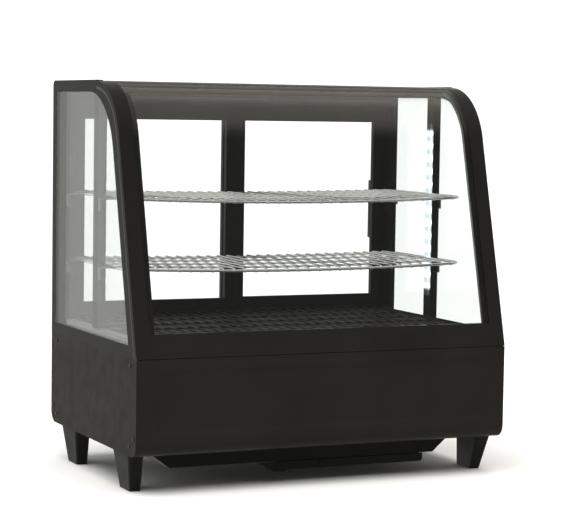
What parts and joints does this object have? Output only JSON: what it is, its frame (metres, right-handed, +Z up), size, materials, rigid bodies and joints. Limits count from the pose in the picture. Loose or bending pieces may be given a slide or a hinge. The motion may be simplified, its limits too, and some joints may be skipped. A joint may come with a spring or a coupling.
{
  "type": "refrigerated bakery display case",
  "caption": "Counter-top refrigerated display case: curved front glass, glass sides, wire shelves with lights, rear sliding doors, dark base on tapered legs.",
  "frame": {"origin": "middle of the footprint, on the counter the legs stand on", "axes": "+Z up, front glass faces -Y, +X to the right seen from the front"},
  "size_m": [0.6852, 0.45, 0.673],
  "materials": {
    "steel_dark": "satin dark metallic sheet",
    "leg_plastic": "moulded, fine texture",
    "fastener_steel": "satin",
    "tray_metal": "satin",
    "tray_plastic": "moulded",
    "compressor_black": "gloss",
    "rubber": "matt",
    "fins_aluminium": "bare fins",
    "zinc_steel": "galvanised",
    "fan_plastic": "moulded",
    "copper": "drawn copper",
    "liner_white": "moulded",
    "deck_grey": "satin",
    "wire_black": "coated wire",
    "shelf_chrome": "bright wire",
    "glass_clear": "polished",
    "spacer_black": "black edge print and spacer",
    "frame_black": "black anodised, satin",
    "roof_dark": "satin",
    "handle_black": "moulded",
    "led_lens": "lens over lamps",
    "bracket_steel": "satin",
    "control_plastic": "moulded",
    "display_lens": "smoked window",
    "button_grey": "moulded",
    "inlet_black": "moulded"
  },
  "bodies": {
    "cabinet": {"base_pan": "zinc_steel", "fascia_panel": "steel_dark", "side_panel_right": "steel_dark", "side_panel_left": "steel_dark", "service_panel": "steel_dark", "fasteners": "fastener_steel", "leg_front_right": "leg_plastic", "leg_front_left": "leg_plastic", "leg_rear_right": "leg_plastic", "leg_rear_left": "leg_plastic", "machine_tray": "tray_metal", "compressor": "compressor_black", "compressor_mounts": "rubber", "condenser_coil": "fins_aluminium", "condenser_shroud": "zinc_steel", "condenser_fan_motor": "compressor_black", "refrigerant_circuit": "copper", "cabin_tub": "liner_white", "evaporator_coil": "fins_aluminium", "cooler_fan_mount": "zinc_steel", "deck_plate": "deck_grey", "front_glass_outer": "glass_clear", "front_glass_border": "spacer_black", "front_glass_inner": "glass_clear", "roof_panel": "roof_dark", "door_header": "frame_black", "door_sill": "frame_black", "light_strips": "led_lens", "shelf_brackets": "bracket_steel", "controller_housing": "control_plastic", "controller_display": "display_lens", "rocker_housings": "control_plastic", "power_inlet": "inlet_black", "left_glass_outer": "glass_clear", "left_glass_border": "spacer_black", "left_glass_inner": "glass_clear", "left_rear_post": "frame_black", "left_mid_post": "frame_black", "right_glass_outer": "glass_clear", "right_glass_border": "spacer_black", "right_glass_inner": "glass_clear", "right_rear_post": "frame_black", "right_mid_post": "frame_black"},
    "left_door": {"left_door_frame": "frame_black", "left_door_glass": "glass_clear", "left_door_handle": "handle_black"},
    "right_door": {"right_door_frame": "frame_black", "right_door_glass": "glass_clear", "right_door_handle": "handle_black"},
    "upper_shelf_body": {"upper_shelf": "shelf_chrome"},
    "lower_shelf_body": {"lower_shelf": "shelf_chrome"},
    "deck_grid_body": {"deck_grid": "wire_black"},
    "drip_tray_body": {"drip_tray": "tray_plastic"},
    "condenser_fan_body": {"condenser_fan": "fan_plastic"},
    "cooler_fan_body": {"cooler_fan": "fan_plastic"},
    "power_rocker_body": {"power_rocker": "control_plastic"},
    "light_rocker_body": {"light_rocker": "control_plastic"},
    "set_button_body": {"set_button": "button_grey"},
    "down_button_body": {"down_button": "button_grey"},
    "up_button_body": {"up_button": "button_grey"}
  },
  "joints": [
    {"name": "left_door_slide", "type": "slide", "parent": "cabinet", "child": "left_door", "axis": [1, 0, 0], "range_m": [0, 0.295]},
    {"name": "right_door_slide", "type": "slide", "parent": "cabinet", "child": "right_door", "axis": [-1, 0, 0], "range_m": [0, 0.295]},
    {"name": "upper_shelf_lift", "type": "slide", "parent": "cabinet", "child": "upper_shelf_body", "axis": [0, 0, 1], "range_m": [0, 0.06]},
    {"name": "lower_shelf_lift", "type": "slide", "parent": "cabinet", "child": "lower_shelf_body", "axis": [0, 0, 1], "range_m": [0, 0.06]},
    {"name": "deck_grid_lift", "type": "slide", "parent": "cabinet", "child": "deck_grid_body", "axis": [0, 0, 1], "range_m": [0, 0.03]},
    {"name": "drip_tray_slide", "type": "slide", "parent": "cabinet", "child": "drip_tray_body", "axis": [0, -1, 0], "range_m": [0, 0.22]},
    {"name": "condenser_fan_spin", "type": "hinge", "parent": "cabinet", "child": "condenser_fan_body", "pos_m": [-0.125, 0.137, 0.114], "axis": [0, 1, 0], "continuous": true},
    {"name": "cooler_fan_spin", "type": "hinge", "parent": "cabinet", "child": "cooler_fan_body", "pos_m": [0.06, 0.096, 0.216], "axis": [0, 1, 0], "continuous": true},
    {"name": "power_rocker_tip", "type": "hinge", "parent": "cabinet", "child": "power_rocker_body", "pos_m": [0.176, 0.21, 0.182], "axis": [1, 0, 0], "range_deg": [-8, 8]},
    {"name": "light_rocker_tip", "type": "hinge", "parent": "cabinet", "child": "light_rocker_body", "pos_m": [0.14, 0.21, 0.182], "axis": [1, 0, 0], "range_deg": [-8, 8]},
    {"name": "set_button_press", "type": "slide", "parent": "cabinet", "child": "set_button_body", "axis": [0, -1, 0], "range_m": [0, 0.0008], "stiffness_N_per_m": 300},
    {"name": "down_button_press", "type": "slide", "parent": "cabinet", "child": "down_button_body", "axis": [0, -1, 0], "range_m": [0, 0.0008], "stiffness_N_per_m": 300},
    {"name": "up_button_press", "type": "slide", "parent": "cabinet", "child": "up_button_body", "axis": [0, -1, 0], "range_m": [0, 0.0008], "stiffness_N_per_m": 300}
  ]
}
